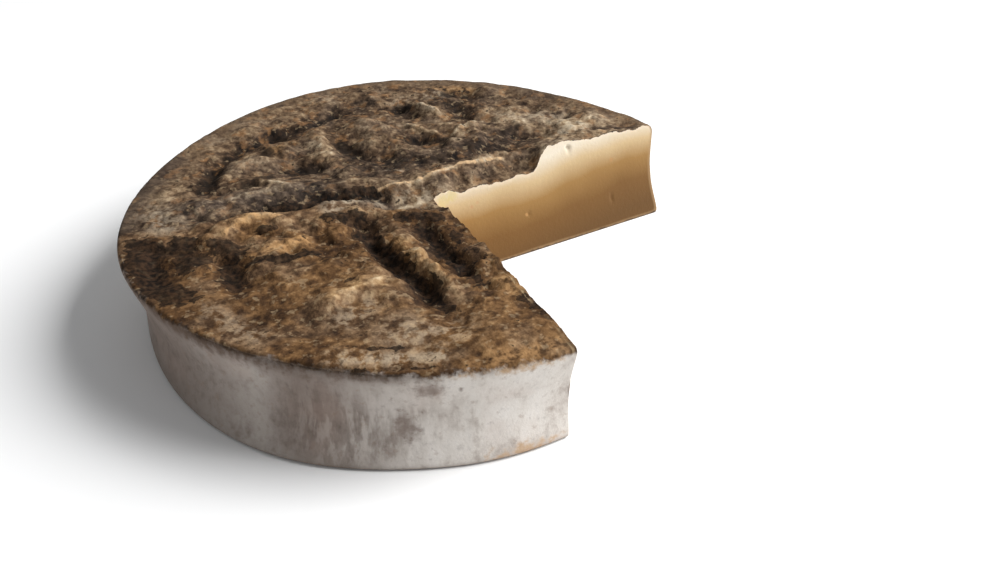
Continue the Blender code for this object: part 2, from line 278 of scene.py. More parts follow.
PALE_PATCHES = (
    (0.7, 4.5, ((-36, -12), (-26, -2), (-20, -2))),
    (0.6, 4.0, ((-8, 1), (2, 3))),
    (0.5, 6.0, ((-104, -8), (-98, -21))),
    (0.75, 3.4, ((-30, -105), (-14, -106), (2, -106))),
    (0.5, 8.0, ((-8, -93), (6, -94))),
    (0.5, 5.0, ((-28, -84), (-22, -78))),
    (0.4, 7.0, ((44, 70), (62, 69))),
    (0.9, 5.0, ((64, 48), (70, 54))),
    (0.4, 2.0, ((-1, 82), (7, 76))),
    (0.5, 3.0, ((-13, 19), (-10, 18))),
    (0.5, 4.0, ((2, 97), (8, 98))),
    (0.4, 4.0, ((-12, 92), (-8, 94))),
    (0.4, 5.0, ((-72, -76), (-56, -90))),
)
ORANGE_PATCHES = (
    (1.0, 1.4, CRESCENT),
    (0.9, 3.5, ((-57, -41), (-46, -36))),
    (0.7, 2.0, ((-84, -38), (-81, -33))),
    (0.7, 2.4, ((-64, 42), (-61, 45))),
    (0.7, 2.6, ((5, 106), (25, 102))),
    (0.55, 3.6, ((18, -109), (30, -107), (40, -103))),
    (0.5, 3.0, ((24, -66), (29, -75))),
)
GREY_PATCHES = (
    (1.1, 8.0, ((-90, -10), (-70, -2), (-44, 6))),
    (0.8, 8.0, ((-36, -12), (-20, -4))),
    (0.9, 6.0, ((-113, -21), (-113, 2), (-106, 36))),
    (0.7, 9.0, ((-78, -18), (-92, -18))),
    (0.5, 8.0, ((-32, -84), (-20, -88))),
    (0.6, 12.0, ((-20, 24), (10, 34), (40, 50))),
)

# Patches of the wall, as (strength, angle, height, half width along, half width up): grey-brown
# stains, tan tints, brown bands under the crust's edge, painted shade (on the left partly the
# rind's own darker tone, on the back right only painted shade against the key light), and parts
# with upright streaks, where the flutes are deeper by the share FLUTING.
WALL_STAINS = (
    (1.05, -117.4, 16.0, 5.5, 8.0),
    (1.25, -113.2, 30.5, 5.5, 4.2),
    (1.3, -108.5, 29.9, 0.9, 0.9),
    (1.2, -114.6, 21.4, 0.9, 0.9),
    (0.8, -127.0, 35.5, 4.0, 2.5),
)
WALL_TINTS = (
    (0.8, -99.0, 2.5, 16.0, 3.0),
    (0.5, -103.0, 3.0, 10.0, 3.0),
    (0.6, -99.0, 36.5, 24.0, 2.6),
)
WALL_BANDS = (
    (1.0, -150.0, 35.5, 46.0, 4.0),
    (0.9, -122.0, 35.5, 22.0, 2.6),
    (0.5, -102.0, 36.0, 20.0, 1.6),
)
WALL_PAINTED_SHADES = (
    (0.95, -168.0, 18.0, 74.0, 60.0),
    (1.0, -132.0, 18.0, 28.0, 40.0),
    (0.85, 30.0, 18.0, 100.0, 60.0),
)
WALL_STREAKS = ((1.0, -122.0, 14.0, 24.0, 14.0),)
FLUTING = 2.4

# The crease under the front edge of the crust: its depth, height and half width, the angles
# that it runs between and how many degrees it takes to fade in.
CREASE_DEPTH = 0.6
CREASE_HEIGHT = 36.3
CREASE_HALF = 0.55
CREASE_FROM = -158.0
CREASE_TO = -112.0
CREASE_FADE = 6.0

# Marks of the paste on the far cut face, as (x, height, half width, colour). The first is painted
# shade in an open eye under the crust.
PASTE_MARKS = (
    (71.0, 38.0, 1.1, (92, 72, 48)),
    (20.5, 25.3, 0.9, (186, 142, 100)),
    (23.5, 26.4, 0.8, (188, 148, 106)),
    (8.5, 31.0, 3.0, (204, 186, 128)),
    (12.5, 31.8, 2.6, (204, 186, 126)),
    (46.0, 16.0, 0.8, (190, 142, 88)),
    (92.7, 28.5, 1.2, (176, 128, 78)),
)

# Eyes pressed into the far cut, as (distance from the apex, height, radius, depth), and the
# ripple of both cuts, as (distance between lumps, height).
EYES = ((70.0, 38.0, 1.2, 0.9), (45.0, 16.0, 0.8, 0.5), (88.0, 12.0, 1.0, 0.6))
CUT_RIPPLE = (11.0, 0.12)

# The camera: where it stands in metres, its bearing from +Y and its dip, its focal length and
# picture width in pixels, and its sensor's width.
CAMERA_PLACE = (-0.1243, -0.2963, 0.2111)
CAMERA_BEARING = 28.39
CAMERA_DIP = 34.35
CAMERA_FOCUS = 901.5
PICTURE_WIDTH = 1000
SENSOR_WIDTH = 36.0

# The lights, with lengths in metres. The key's bearing is clockwise from the camera's.
KEY_BEARING = 79.0
KEY_HEIGHT_ANGLE = 40.0
KEY_DISTANCE = 3.2
KEY_SIZE = 1.9
KEY_POWER = 176.0
SKY_STRENGTH = 0.31
SKY_COLOUR = (0.97, 0.985, 1.0)
FLOOR_SIZE = 8.0
FLOOR_COLOUR = (0.9, 0.9, 0.9)

# How far from a line of the crust its distance is still told, where the near cut's pale brink
# starts, as a distance from the apex, and how wide the plain band along the back's rim is.
LINE_REACH = 6.0
BRINK_START = 60.0
RIM_BAND = 16.0

# Painted shade makes the paste deeper in colour towards the outer end of a cut: how much, from
# what distance from the apex and over what length it grows.
PASTE_END_SHADE = 0.16
PASTE_END_START = 45.0
PASTE_END_FADE = 50.0

OUTSIDE_SLOT, PASTE_SLOT = range(2)


def rim_radius(angle):
    """Radius of the top edge of the wheel at an angle in radians."""
    radius = WHEEL_RADIUS
    for count, height, crest in RIM_WAVES:
        radius = radius + height * np.cos(count * angle - math.radians(crest))
    return radius


def inside_rim(x, y):
    """How far each point of the wheel's plan lies inside the rim."""
    return rim_radius(np.arctan2(y, x)) - np.hypot(x, y)


def turned(x, y, angle):
    """How far each point lies along and to the left of a direction, in radians."""
    return x * math.cos(angle) + y * math.sin(angle), y * math.cos(angle) - x * math.sin(angle)


def bell(distance, half_width):
    """1 at no distance, falling smoothly to nought past the half width."""
    return np.exp(-((distance / half_width) ** 2))


def turn_between(angle, middle):
    """Signed turn in degrees from a middle to an angle in radians."""
    return (np.degrees(angle) - middle + 180.0) % 360.0 - 180.0


def foot_radius(angle):
    """Radius of the wheel where the wall meets the foot: it bulges at the front."""
    radius = rim_radius(angle) - FOOT_INSET
    for reach, middle, half_width in FOOT_LOBES:
        radius = radius + reach * bell(turn_between(angle, middle), half_width)
    return radius


def wall_profile():
    """Rows of the wall from the base up, as (height, share of the way from foot to rim, inset)."""
    rows = []
    for step in range(FOOT_STEPS):
        turn = 0.5 * math.pi * step / FOOT_STEPS
        rows.append((FOOT_ROUND * (1.0 - math.cos(turn)), 0.0, FOOT_ROUND * (1.0 - math.sin(turn))))
    wall_top = WHEEL_HEIGHT - SHOULDER_DROP
    for step in range(WALL_STEPS):
        share = step / WALL_STEPS
        height = FOOT_ROUND + share * (wall_top - FOOT_ROUND)
        rows.append((height, share, WAIST_DEPTH * math.sin(math.pi * share) ** WAIST_SHAPE))
    for step in range(SHOULDER_STEPS + 1):
        turn = 0.5 * math.pi * step / SHOULDER_STEPS
        height = wall_top + SHOULDER_DROP * math.sin(turn)
        rows.append((height, 1.0, SHOULDER_REACH * (1.0 - math.cos(turn))))
    return rows


def lumps_at(x, y, z, spacing, height):
    """Smooth unevenness at each point, with lumps about one spacing apart."""
    points = np.stack(np.broadcast_arrays(x, y, z), axis=-1).reshape(-1, 3) / spacing
    values = [noise.noise(Vector(point)) for point in points]
    return height * np.array(values).reshape(np.shape(x))


def distance_to_path(x, y, path):
    """Distance of each point from a path of straight stretches."""
    nearest = np.full(np.shape(x), np.inf)
    for (x0, y0), (x1, y1) in zip(path, path[1:]):
        dx, dy = x1 - x0, y1 - y0
        along = ((x - x0) * dx + (y - y0) * dy) / (dx * dx + dy * dy)
        along = np.clip(along, 0.0, 1.0)
        gap = np.hypot(x - x0 - along * dx, y - y0 - along * dy)
        nearest = np.minimum(nearest, gap)
    return nearest


def to_layout(x, y):
    """The wheel's own coordinates, turned into those that the forms are laid out in."""
    return turned(x - LAYOUT_CENTRE[0], y - LAYOUT_CENTRE[1], -math.radians(LAYOUT_TURN))


def strayed_layout(x, y, strays):
    """The layout's coordinates with a wander, so that no form keeps a clean edge."""
    u, v = to_layout(x, y)
    for spacing, reach in strays:
        wander_u = lumps_at(u, v, spacing, spacing, reach)
        wander_v = lumps_at(u, v, -spacing, spacing, reach)
        u, v = u + wander_u, v + wander_v
    return u, v


def sum_of_forms(u, v, forms):
    """Total height of some forms at points of the layout."""
    height = np.zeros(np.shape(u))
    for rise, half_width, path in forms:
        height = height + rise * bell(distance_to_path(u, v, path), half_width)
    return height


def top_height(x, y):
    """Height of the crust's surface over each point of the wheel's plan."""
    u, v = strayed_layout(x, y, STRAYS)
    forms = (*CUT_FORMS, *BAND_FORMS, *FRONT_FORMS, REAR_HOLLOW, *REAR_FORMS)
    height = WHEEL_HEIGHT + sum_of_forms(u, v, forms)
    fade = crust_fade(x, y)
    for spacing, lump in LUMPS:
        height = height + fade * lumps_at(x, y, 0.0, spacing, lump)
    return height


def crust_fade(x, y):
    """Share of the unevenness that is left near the rim."""
    return np.clip(inside_rim(x, y) / LUMP_FADE, RIM_LUMPS, 1.0)


def front_share(u, v):
    """1 in the front half of the crust, 0 in the back half."""
    line_u, line_v = zip(*FRONT_LINE)
    return ease(0.5 + (np.interp(u, line_u, line_v) - v) / FRONT_BLEND)


def fine_height(x, y):
    """Height of the crust's creases, crags and stripes."""
    u, v = strayed_layout(x, y, LINE_STRAYS)
    height = sum_of_forms(u, v, FINE_FORMS)
    striped = strongest(u, v, STRIPED_BANDS)
    rough = 1.0 - strongest(u, v, CALM_PATCHES) + strongest(u, v, ROUGH_PATCHES)
    rough = crust_fade(x, y) * rough
    along, aside = turned(u, v, math.radians(CRAG_ALONG))
    for spacing, crag in CRAGS:
        folds = np.abs(lumps_at(along / CRAG_STRETCH, aside, spacing, spacing, 1.0))
        height = height + rough * crag * (CRAG_SWELL * folds - CRAG_SINK)
    stripes = lumps_at(along / STRIPE_SPACING, aside / STRIPE_LENGTH, 0.0, 1.0, STRIPE_HEIGHT)
    return height + striped * stripes


def ease(value):
    """Rises smoothly from 0 to 1."""
    value = np.clip(value, 0.0, 1.0)
    return value * value * (3.0 - 2.0 * value)


def far_cut_y(x, height):
    """Where the far cut's plane lies across the wheel, at an x and a height."""
    way, other = math.radians(FAR_CUT_ANGLE), math.radians(NEAR_CUT_ANGLE)
    along = x - APEX[0] - FAR_CUT_LEAN * height * math.cos(other)
    return APEX[1] + along * math.tan(way) + FAR_CUT_LEAN * height * math.sin(other)


def lean(x, y, height):
    """Moves points near a cut along the other cut, so that the cut's plane leans."""
    far, near = math.radians(FAR_CUT_ANGLE), math.radians(NEAR_CUT_ANGLE)
    out_x, out_y = x - APEX[0], y - APEX[1]
    for cut, other, amount in ((far, near, FAR_CUT_LEAN), (near, far, NEAR_CUT_LEAN)):
        along, aside = turned(out_x, out_y, cut)
        share = ease(1.0 - np.abs(aside) / LEAN_FADE) * ease(1.0 + along / LEAN_FADE)
        x = x + amount * height * share * math.cos(other)
        y = y + amount * height * share * math.sin(other)
    return x, y


def cut_to_rim(angle, radius_at):
    """Angle from the wheel's centre at which a cut from the apex leaves the wheel."""
    way = np.array((math.cos(angle), math.sin(angle)))
    reach = WHEEL_RADIUS
    for _ in range(FITTING_ROUNDS):
        point = np.array(APEX) + reach * way
        bearing = math.atan2(point[1], point[0])
        reach += float(radius_at(bearing)) - float(np.hypot(*point))
    return bearing % (2.0 * math.pi)


def rim_angles(radius_at):
    """Angles of the columns of the wall, from the far cut round to the near cut."""
    first = cut_to_rim(math.radians(FAR_CUT_ANGLE), radius_at)
    last = cut_to_rim(math.radians(NEAR_CUT_ANGLE), radius_at)
    if first > math.pi:
        first -= 2.0 * math.pi
    return np.linspace(first, last, RIM_STEPS + 1)


def crease_share(angle, height):
    """1 along the bottom of the crease under the front edge of the crust, 0 away from it."""
    start, end = turn_between(angle, CREASE_FROM), turn_between(angle, CREASE_TO)
    along = ease(start / CREASE_FADE) * ease(-end / CREASE_FADE)
    return along * bell(height - CREASE_HEIGHT, CREASE_HALF)


def wall_points(height, share, inset):
    """One row of the wall, from the far cut round to the near cut."""

    def radius_at(angle):
        return foot_radius(angle) * (1.0 - share) + rim_radius(angle) * share - inset

    angles = rim_angles(radius_at)
    radius = radius_at(angles)
    x, y = radius * np.cos(angles), radius * np.sin(angles)
    middle = math.sin(math.pi * height / WHEEL_HEIGHT)
    swell = lumps_at(x, y, height, *WALL_LUMPS) * middle
    fluted = 1.0 + FLUTING * wall_patch(angles, height, WALL_STREAKS)
    for spacing, grain in WALL_GRAIN:
        flutes = lumps_at(x, y, height * STREAK_SQUASH, spacing, grain)
        swell = swell + min(1.0, FLUTE_FADE * middle) * fluted * flutes
    swell = swell - CREASE_DEPTH * crease_share(angles, height)
    return x * (1.0 + swell / radius), y * (1.0 + swell / radius)


def row_of_points(x, y, level):
    """Points of a row of the shoulder or the top, whose level is its height on a flat crust."""
    climb = max((level - (WHEEL_HEIGHT - SHOULDER_DROP)) / SHOULDER_DROP, 0.0)
    height = np.full(np.shape(x), float(level))
    if climb > 0.0:
        for _ in range(FITTING_ROUNDS):
            height = level + climb * (top_height(*lean(x, y, height)) - WHEEL_HEIGHT)
        height = height + climb * fine_height(*lean(x, y, height))
    return np.stack((*lean(x, y, height), height), axis=1)


class Surface:
    """Points, faces and values at the points, gathered for one mesh."""

    def __init__(self):
        self.points = []
        self.values = []
        self.faces = []
        self.slots = []

    def add_row(self, points, crust, skin, shell):
        """Adds points and returns their numbers. Crust is 1 on the top and 0 on the wall;
        skin and shell are a cut face's distances from the crust and from the wall or base."""
        first = len(self.points)
        self.points.extend(points)
        spread = np.broadcast_to(crust, len(points)), np.broadcast_to(skin, len(points))
        self.values.extend(zip(*spread, np.broadcast_to(shell, len(points))))
        return list(range(first, len(self.points)))

    def add_face(self, corners, slot):
        self.faces.append(corners)
        self.slots.append(slot)

    def join_rows(self, lower, upper, slot):
        """Triangles between two rows that may differ in their number of points."""
        i = j = 0
        while i < len(lower) - 1 or j < len(upper) - 1:
            next_lower = (i + 1) / (len(lower) - 1)
            next_upper = (j + 1) / (len(upper) - 1)
            if j == len(upper) - 1 or (i < len(lower) - 1 and next_lower <= next_upper):
                self.add_face((lower[i], lower[i + 1], upper[j]), slot)
                i += 1
            else:
                self.add_face((lower[i], upper[j + 1], upper[j]), slot)
                j += 1


def add_wall(surface):
    """Adds the rows of the wall and returns them with the plan of the last one."""
    rows = []
    wall_top = WHEEL_HEIGHT - SHOULDER_DROP
    for height, share, inset in wall_profile():
        x, y = wall_points(height, share, inset)
        crust = max((height - wall_top) / SHOULDER_DROP, 0.0)
        rows.append(surface.add_row(row_of_points(x, y, height), crust, 0.0, 0.0))
        if len(rows) > 1:
            surface.join_rows(rows[-2], rows[-1], OUTSIDE_SLOT)
    return rows, x, y


def add_top(surface, rim_row, x, y):
    """Adds the rings of the crust from the rim inwards and returns them."""
    rings = []
    below = rim_row
    for ring in range(TOP_RINGS - 1, 0, -1):
        share = ring / TOP_RINGS
        columns = max(3, round(RIM_STEPS * share))
        pick = np.linspace(0.0, RIM_STEPS, columns + 1)
        edge_x = np.interp(pick, np.arange(RIM_STEPS + 1), x)
        edge_y = np.interp(pick, np.arange(RIM_STEPS + 1), y)
        ring_x = APEX[0] + share * (edge_x - APEX[0])
        ring_y = APEX[1] + share * (edge_y - APEX[1])
        rings.append(surface.add_row(row_of_points(ring_x, ring_y, WHEEL_HEIGHT), 1.0, 0.0, 0.0))
        surface.join_rows(below, rings[-1], OUTSIDE_SLOT)
        below = rings[-1]
    return rings


def add_apex_edge(surface):
    """Adds the upright edge where the two cut faces meet, from the base up."""
    x, y = np.array([APEX[0]]), np.array([APEX[1]])
    top = row_of_points(x, y, WHEEL_HEIGHT)[0][2]
    edge = []
    for height, _, _ in wall_profile():
        level = height / WHEEL_HEIGHT * top
        leant_x, leant_y = lean(x, y, level)
        point = np.array((leant_x[0], leant_y[0], level))
        edge += surface.add_row([point], 1.0, top - level, level)
    return edge


def dent_eyes(points, start, inward):
    """Presses the eyes of the paste into a row of points on the far cut."""
    away = np.hypot(points[:, 0] - start[0], points[:, 1] - start[1])
    for along, height, radius, depth in EYES:
        gap = np.hypot(away - along, points[:, 2] - height)
        points = points + np.outer(depth * np.exp(-((gap / radius) ** 4)), inward)
    return points


def add_cut_face(surface, wall, top_edge, apex_edge, facing_out):
    """Fills a cut and returns its base edge: wall runs up its outer end, and top_edge from
    the rim to the apex."""
    at = surface.points
    top = np.array([at[index] for index in top_edge[1:-1]])
    shares = np.arange(1, len(top_edge) - 1)[:, None] / (len(top_edge) - 1)
    feet = at[wall[0]] * (1.0 - shares) + at[apex_edge[0]] * shares
    out = at[wall[0]] - at[apex_edge[0]]
    inward = np.array((-out[1], out[0], 0.0)) / np.hypot(out[0], out[1])
    below = []
    for level, outer in enumerate(wall):
        climb = at[outer][2] / at[wall[-1]][2]
        points = feet * (1.0 - climb) + top * climb
        skin = top[:, 2] - points[:, 2]
        if level == len(wall) - 1:
            row = top_edge
        else:
            shell = np.minimum(np.hypot(*(points - at[outer])[:, :2].T), points[:, 2])
            if level > 0:
                ripple = lumps_at(points[:, 0], points[:, 1], points[:, 2], *CUT_RIPPLE)
                points = points + np.outer(ripple * math.sin(math.pi * climb), inward)
            if level > 0 and facing_out:
                points = dent_eyes(points, at[apex_edge[0]], inward)
            row = [outer, *surface.add_row(points, 1.0, skin, shell), apex_edge[level]]
        for step in range(len(row) - 1 if below else 0):
            corners = (below[step], row[step], row[step + 1], below[step + 1])
            surface.add_face(corners if facing_out else corners[::-1], PASTE_SLOT)
        if not below:
            base_edge = row
        below = row
    return base_edge


def build_surface():
    """The whole wheel: the wall, the top, the two cut faces and the flat underside."""
    surface = Surface()
    wall, x, y = add_wall(surface)
    rings = add_top(surface, wall[-1], x, y)
    apex_edge = add_apex_edge(surface)
    for first, second in zip(rings[-1], rings[-1][1:]):
        surface.add_face((first, second, apex_edge[-1]), OUTSIDE_SLOT)
    base_edges = []
    for end, facing_out in ((0, True), (-1, False)):
        outer = [row[end] for row in wall]
        top_edge = [outer[-1], *(ring[end] for ring in rings), apex_edge[-1]]
        base_edges.append(add_cut_face(surface, outer, top_edge, apex_edge, facing_out))
    far_edge, near_edge = base_edges
    outline = far_edge[:0:-1] + wall[0] + near_edge[1:-1]
    surface.add_face(tuple(outline[::-1]), OUTSIDE_SLOT)
    return surface


def strongest(u, v, patches):
    """The strongest of some patches at each point."""
    value = np.zeros(np.shape(u))
    for strength, half_width, path in patches:
        share = bell(distance_to_path(u, v, path), half_width)
        value = np.maximum(value, strength * share)
    return value


def wall_patch(angle, height, patches):
    """The strongest of some patches of the wall at each point."""
    value = np.zeros(np.shape(angle))
    for strength, middle, level, half_along, half_up in patches:
        aside = np.radians(turn_between(angle, middle)) * WHEEL_RADIUS / half_along
        share = np.exp(-(aside**2) - ((height - level) / half_up) ** 2)
        value = np.maximum(value, strength * share)
    return value


def border_distance(x, y, z, crust):
    """How far each point lies inside the rim or, below nought, down the wall from it."""
    below = np.where(crust > 0.0, (crust - 1.0) * SHOULDER_DROP, z - WHEEL_HEIGHT)
    distance = np.where(crust >= 1.0, inside_rim(x, y), below)
    return np.clip(distance, -LINE_REACH, LINE_REACH)


def brink_distance(x, y):
    """Distance of each point from the outer stretch of the near cut's edge."""
    along, aside = turned(x - APEX[0], y - APEX[1], math.radians(NEAR_CUT_ANGLE))
    return np.minimum(np.abs(aside), LINE_REACH) + LINE_REACH * ease(1.0 - along / BRINK_START)


def paste_end_shade(x, y):
    """How much painted shade deepens the paste's colour towards the outer end of a cut face."""
    away = np.hypot(x - APEX[0], y - APEX[1])
    return PASTE_END_SHADE * ease((away - PASTE_END_START) / PASTE_END_FADE)


def masks_of(points, crust, skin, shell):
    """Values that the materials read, at each point."""
    x, y, z = points.T
    u, v = strayed_layout(x, y, LINE_STRAYS)
    angle = np.arctan2(y, x)
    front = front_share(u, v)
    relief_forms = (*CUT_FORMS[1:], *BAND_FORMS, *FRONT_FORMS, *REAR_FORMS, *FINE_FORMS)
    fine = (z - top_height(x, y)) * (crust >= 1.0)
    return {
        "border": border_distance(x, y, z, crust),
        "skin": skin,
        "shell": shell,
        "front": front,
        "relief": sum_of_forms(u, v, relief_forms) + fine,
        "dark": strongest(u, v, DARK_PATCHES),
        "tan": strongest(u, v, TAN_PATCHES),
        "pale": strongest(u, v, PALE_PATCHES),
        "orange": strongest(u, v, ORANGE_PATCHES),
        "pit": strongest(u, v, PIT_PATCHES),
        "grey": strongest(u, v, GREY_PATCHES),
        "line": np.minimum(distance_to_path(u, v, CREST_LINE), LINE_REACH),
        "brink": brink_distance(x, y),
        "rim": (1.0 - front) * ease(1.0 - inside_rim(x, y) / RIM_BAND),
        "stain": wall_patch(angle, z, WALL_STAINS),
        "tint": wall_patch(angle, z, WALL_TINTS),
        "band": wall_patch(angle, z, WALL_BANDS),
        "shade": wall_patch(angle, z, WALL_PAINTED_SHADES),
        "streaky": wall_patch(angle, z, WALL_STREAKS),
        "crease": crease_share(angle, z) * (crust < 1.0),
        # Height on a cut face, lowered by the painted shade towards a cut's outer end.
        "level": z / WHEEL_HEIGHT - paste_end_shade(x, y),
        "foot": z,
    }


class Paint:
    """Adds shader nodes to one material. Values may be sockets, numbers or colours."""

    def __init__(self, name):
        self.material = bpy.data.materials.new(name)
        self.material.use_nodes = True
        self.tree = self.material.node_tree
        self.shader = self.tree.nodes["Principled BSDF"]
        self.place = self.tree.nodes.new("ShaderNodeTexCoord").outputs["Object"]

    def put(self, value, socket):
        if isinstance(value, bpy.types.NodeSocket):
            self.tree.links.new(value, socket)
        elif isinstance(value, tuple):
            socket.default_value = (*value, 1.0)
        else:
            socket.default_value = value

    def value(self, name):
        node = self.tree.nodes.new("ShaderNodeAttribute")
        node.attribute_name = name
        return node.outputs["Fac"]

    def maths(self, operation, first, second=0.0):
        node = self.tree.nodes.new("ShaderNodeMath")
        node.operation = operation
        self.put(first, node.inputs[0])
        self.put(second, node.inputs[1])
        return node.outputs[0]

    def times(self, first, second):
        return self.maths("MULTIPLY", first, second)

    def total(self, base, *terms):
        """A base value and (weight, value, the value that counts as nothing) terms, added up."""
        for weight, value, middle in terms:
            term = self.times(self.maths("SUBTRACT", value, middle), weight)
            base = self.maths("ADD", base, term)
        return base

    def spread(self, value, low, high):
        """0 at low, 1 at high, smooth between."""
        node = self.tree.nodes.new("ShaderNodeMapRange")
        node.interpolation_type = "SMOOTHSTEP"
        self.put(value, node.inputs["Value"])
        node.inputs["From Min"].default_value = low
        node.inputs["From Max"].default_value = high
        return node.outputs["Result"]

    def near(self, value, low, high):
        """1 at low, 0 at high, smooth between."""
        return self.maths("SUBTRACT", 1.0, self.spread(value, low, high))

    def stretched(self, amounts):
        node = self.tree.nodes.new("ShaderNodeMapping")
        self.tree.links.new(self.place, node.inputs["Vector"])
        node.inputs["Scale"].default_value = amounts
        return node.outputs["Vector"]

    def noise(self, size, detail=2.0, roughness=0.5, place=None):
        """Noise with lumps about size millimetres across."""
        node = self.tree.nodes.new("ShaderNodeTexNoise")
        self.put(place or self.place, node.inputs["Vector"])
        node.inputs["Scale"].default_value = 1.0 / (size * MM)
        node.inputs["Detail"].default_value = detail
        node.inputs["Roughness"].default_value = roughness
        return node.outputs["Fac"]

    def spot(self, ragged, middle, half_width):
        """1 within half_width millimetres of a place, with an edge that a noise makes ragged."""
        node = self.tree.nodes.new("ShaderNodeVectorMath")
        node.operation = "DISTANCE"
        self.tree.links.new(self.place, node.inputs[0])
        node.inputs[1].default_value = [MM * place for place in middle]
        gap = self.total(node.outputs["Value"], (2.0 * half_width * MM, ragged, 0.5))
        return self.near(gap, 0.5 * half_width * MM, 1.3 * half_width * MM)

    def mix(self, share, first, second):
        node = self.tree.nodes.new("ShaderNodeMix")
        node.data_type = "RGBA"
        self.put(share, node.inputs["Factor"])
        self.put(first, node.inputs[6])
        self.put(second, node.inputs[7])
        return node.outputs[2]

    def cover(self, colour, share, amount, coat):
        """A colour under a coat of another, which hides as much as amount where share is 1."""
        return self.mix(self.times(share, amount), colour, coat)

    def ramp(self, value, stops):
        """Colours along a value, as (place, colour) stops."""
        node = self.tree.nodes.new("ShaderNodeValToRGB")
        self.put(value, node.inputs["Fac"])
        elements = node.color_ramp.elements
        while len(elements) < len(stops):
            elements.new(0.5)
        for element, (place, colour) in zip(elements, stops):
            element.position = place
            element.color = (*colour, 1.0)
        return node.outputs["Color"]

    def bump(self, height, depth, below=None):
        """Bumps depth millimetres high."""
        node = self.tree.nodes.new("ShaderNodeBump")
        node.inputs["Distance"].default_value = depth * MM
        self.put(height, node.inputs["Height"])
        if below is not None:
            self.tree.links.new(below, node.inputs["Normal"])
        return node.outputs["Normal"]


def rgb(red, green, blue):
    """A colour given as screen values from 0 to 255, as the linear one that shaders take."""
    channels = np.array((red, green, blue)) / 255.0
    linear = np.where(channels <= 0.04045, channels / 12.92, ((channels + 0.055) / 1.055) ** 2.4)
    return tuple(float(channel) for channel in linear)


FRONT_COLOURS = (
    (0.0, rgb(22, 15, 10)),
    (0.25, rgb(52, 35, 21)),
    (0.42, rgb(86, 61, 37)),
    (0.58, rgb(121, 90, 58)),
    (0.78, rgb(170, 137, 97)),
    (1.0, rgb(208, 186, 150)),
)
BACK_COLOURS = (
    (0.0, rgb(20, 14, 10)),
    (0.25, rgb(46, 34, 24)),
    (0.42, rgb(80, 62, 46)),
    (0.58, rgb(112, 91, 69)),
    (0.78, rgb(154, 132, 105)),
    (1.0, rgb(200, 182, 154)),
)
GREY_COLOURS = (
    (0.0, rgb(24, 21, 19)),
    (0.3, rgb(58, 51, 46)),
    (0.5, rgb(94, 84, 75)),
    (0.75, rgb(142, 132, 117)),
    (1.0, rgb(190, 181, 164)),
)
WALL_COLOURS = (
    (0.15, rgb(158, 145, 136)),
    (0.5, rgb(220, 213, 205)),
    (0.85, rgb(240, 235, 229)),
)
# A darker, browner copy of the wall's colours, used for painted shade.
WALL_PAINTED_SHADE_COLOURS = (
    (0.2, rgb(92, 78, 70)),
    (0.8, rgb(154, 139, 129)),
)
# Paste colours from the base up; the golden-brown low down is partly painted shadow.
PASTE_AND_SHADOW_COLOURS = (
    (0.0, rgb(100, 68, 27)),
    (0.3, rgb(116, 80, 33)),
    (0.55, rgb(150, 113, 61)),
    (0.75, rgb(196, 170, 129)),
    (0.93, rgb(222, 211, 191)),
)
MOULD_COLOURS = ((0.42, rgb(14, 9, 6)), (0.64, rgb(52, 36, 24)))
CUT_CRUST_COLOURS = ((0.35, rgb(36, 27, 19)), (0.7, rgb(112, 88, 64)))


def crust_ground(paint, grain, fleck, blotch, broad):
    """The mottled mould: brown at the front, greyer at the back and plainer along its rim.
    Also returns the contrast, which is lower in the plain band."""
    tone = paint.total(
        0.0,
        (1.0, grain, 0.5),
        (0.5, fleck, 0.5),
        (0.45, blotch, 0.5),
        (0.4, broad, 0.5),
        (0.06, paint.value("relief"), 0.0),
        (0.22, paint.value("tan"), 0.0),
        (0.18, paint.value("pale"), 0.0),
    )
    front = paint.ramp(paint.total(0.46, (0.8, tone, 0.0)), FRONT_COLOURS)
    rim = paint.value("rim")
    contrast = paint.total(1.0, (-0.6, rim, 0.0))
    back_value = paint.total(
        0.445,
        (contrast, tone, 0.0),
        (0.045, rim, 0.0),
        (-0.2, paint.value("pit"), 0.0),
        (-0.14, paint.value("grey"), 0.0),
    )
    warm = paint.spread(paint.noise(6.0, 3.0, 0.6), 0.53, 0.68)
    back = paint.cover(paint.ramp(back_value, BACK_COLOURS), warm, 0.42, rgb(158, 116, 76))
    colour = paint.mix(paint.value("front"), back, front)
    hue = paint.spread(paint.noise(15.0, 2.0, 0.5), 0.45, 0.62)
    grey = paint.maths("MAXIMUM", paint.value("grey"), paint.times(hue, 0.5))
    return paint.cover(colour, grey, 0.5, paint.ramp(back_value, GREY_COLOURS)), contrast


def crust_flecks(paint, colour, grain, contrast):
    """Pale and orange mould in its patches, and light and dark flecks all over."""
    pale = paint.times(paint.value("pale"), paint.spread(grain, 0.42, 0.58))
    colour = paint.cover(colour, pale, 0.7, rgb(172, 160, 141))
    orange = paint.times(paint.value("orange"), paint.spread(grain, 0.36, 0.54))
    colour = paint.cover(colour, orange, 0.75, rgb(186, 144, 97))
    light = paint.times(paint.spread(paint.noise(2.8, 2.0, 0.55), 0.57, 0.68), contrast)
    colour = paint.cover(colour, light, 0.36, rgb(172, 148, 116))
    dark = paint.times(paint.spread(paint.noise(3.4, 2.0, 0.55), 0.56, 0.66), contrast)
    return paint.cover(colour, dark, 0.5, rgb(48, 33, 22))


def crust_hollows(paint, colour, grain, fleck, blotch):
    """Black mould in the grooves of the front, and the dark pits of the back."""
    black = paint.total(paint.value("dark"), (2.4, grain, 0.5), (1.2, blotch, 0.5))
    mould = paint.ramp(fleck, MOULD_COLOURS)
    colour = paint.cover(colour, paint.spread(black, 0.42, 0.62), 0.88, mould)
    pit = paint.total(paint.value("pit"), (2.4, grain, 0.5))
    return paint.cover(colour, paint.spread(pit, 0.5, 0.85), 0.75, rgb(34, 26, 19))


